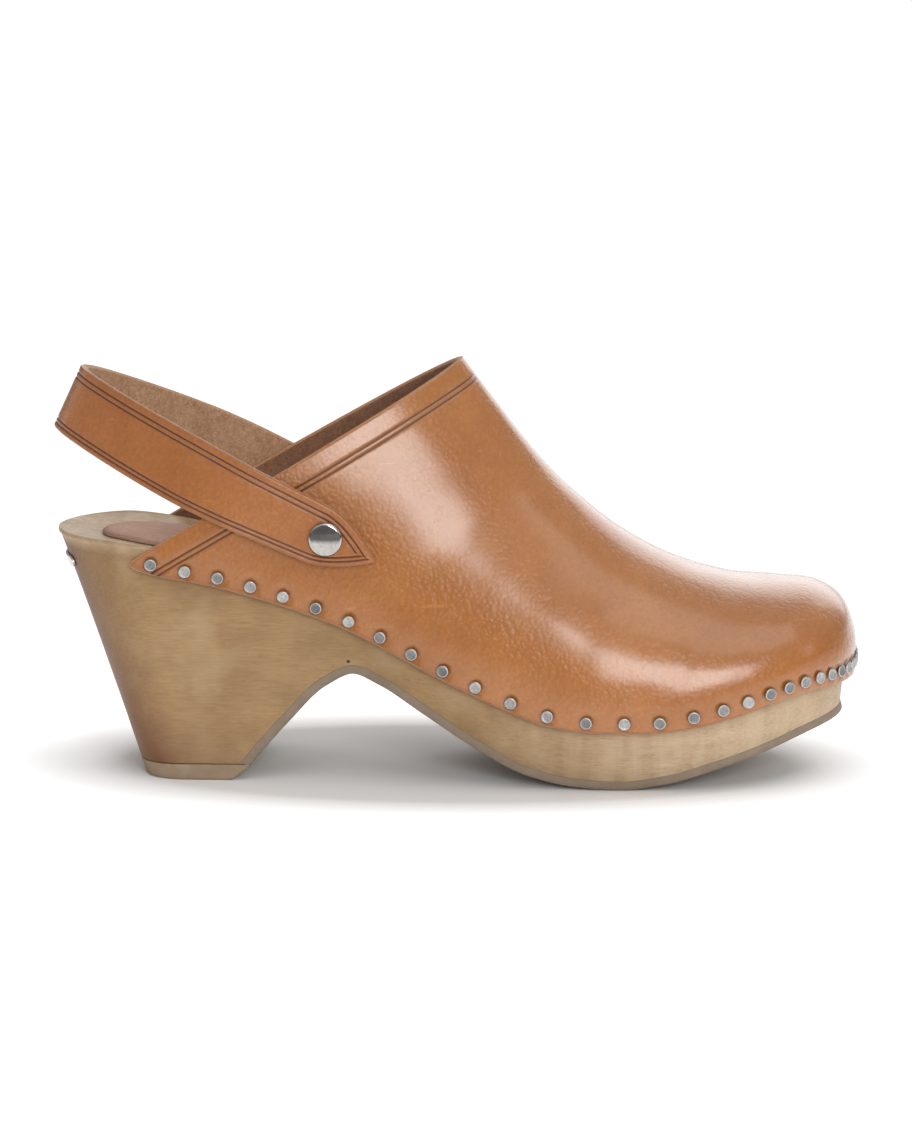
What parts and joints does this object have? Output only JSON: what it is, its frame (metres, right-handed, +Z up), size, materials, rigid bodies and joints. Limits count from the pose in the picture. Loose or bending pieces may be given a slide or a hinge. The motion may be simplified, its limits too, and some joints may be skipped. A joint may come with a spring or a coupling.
{
  "type": "wooden clog",
  "caption": "High-heeled wooden clog with a nailed leather upper, a carved wooden sole, a rubber outsole and a leather heel strap that swings on two riveted caps.",
  "frame": {"origin": "middle of the shoe's plan, on the floor it stands on", "axes": "+X points to the toe, +Y to the inner (medial) side of this right shoe, +Z up"},
  "size_m": [0.2524, 0.0913, 0.1298],
  "materials": {
    "pale_wood": "bare carved wood with a thin satin finish, burnished darker at the back of the heel",
    "tan_leather": "smooth oiled tan leather, satin",
    "strap_leather": "smooth oiled tan leather, satin, suede inside",
    "grey_rubber": "dull grey-brown rubber sheet",
    "heel_rubber": "dull brown rubber",
    "pad_leather": "thin matt leather",
    "chrome": "bright polished",
    "steel": "plain dull steel",
    "plate_metal": "blank, dull"
  },
  "bodies": {
    "shoe": {"wooden_sole": "pale_wood", "upper": "tan_leather", "outsole": "grey_rubber", "heel_tip": "heel_rubber", "seat_pad": "pad_leather", "heel_plate": "plate_metal", "rivet_cap_lateral": "chrome", "rivet_post_lateral": "steel", "rivet_washer_lateral": "steel", "rivet_cap_medial": "chrome", "rivet_post_medial": "steel", "rivet_washer_medial": "steel", "tack_lateral_01": "steel", "tack_lateral_02": "steel", "tack_lateral_03": "steel", "tack_lateral_04": "steel", "tack_lateral_05": "steel", "tack_lateral_06": "steel", "tack_lateral_07": "steel", "tack_lateral_08": "steel", "tack_lateral_09": "steel", "tack_lateral_10": "steel", "tack_lateral_11": "steel", "tack_lateral_12": "steel", "tack_lateral_13": "steel", "tack_lateral_14": "steel", "tack_lateral_15": "steel", "tack_lateral_16": "steel", "tack_lateral_17": "steel", "tack_lateral_18": "steel", "tack_lateral_19": "steel", "tack_lateral_20": "steel", "tack_lateral_21": "steel", "tack_lateral_22": "steel", "tack_lateral_23": "steel", "tack_lateral_24": "steel", "tack_lateral_25": "steel", "tack_lateral_26": "steel", "tack_lateral_27": "steel", "tack_lateral_28": "steel", "tack_lateral_29": "steel", "tack_medial_01": "steel", "tack_medial_02": "steel", "tack_medial_03": "steel", "tack_medial_04": "steel", "tack_medial_05": "steel", "tack_medial_06": "steel", "tack_medial_07": "steel", "tack_medial_08": "steel", "tack_medial_09": "steel", "tack_medial_10": "steel", "tack_medial_11": "steel", "tack_medial_12": "steel", "tack_medial_13": "steel", "tack_medial_14": "steel", "tack_toe": "steel"},
    "strap": {"heel_strap": "strap_leather"}
  },
  "joints": [
    {"name": "strap_swing", "type": "hinge", "parent": "shoe", "child": "strap", "pos_m": [-0.0384, 0, 0.0784], "axis": [0, 1, 0], "range_deg": [0, 130]}
  ]
}
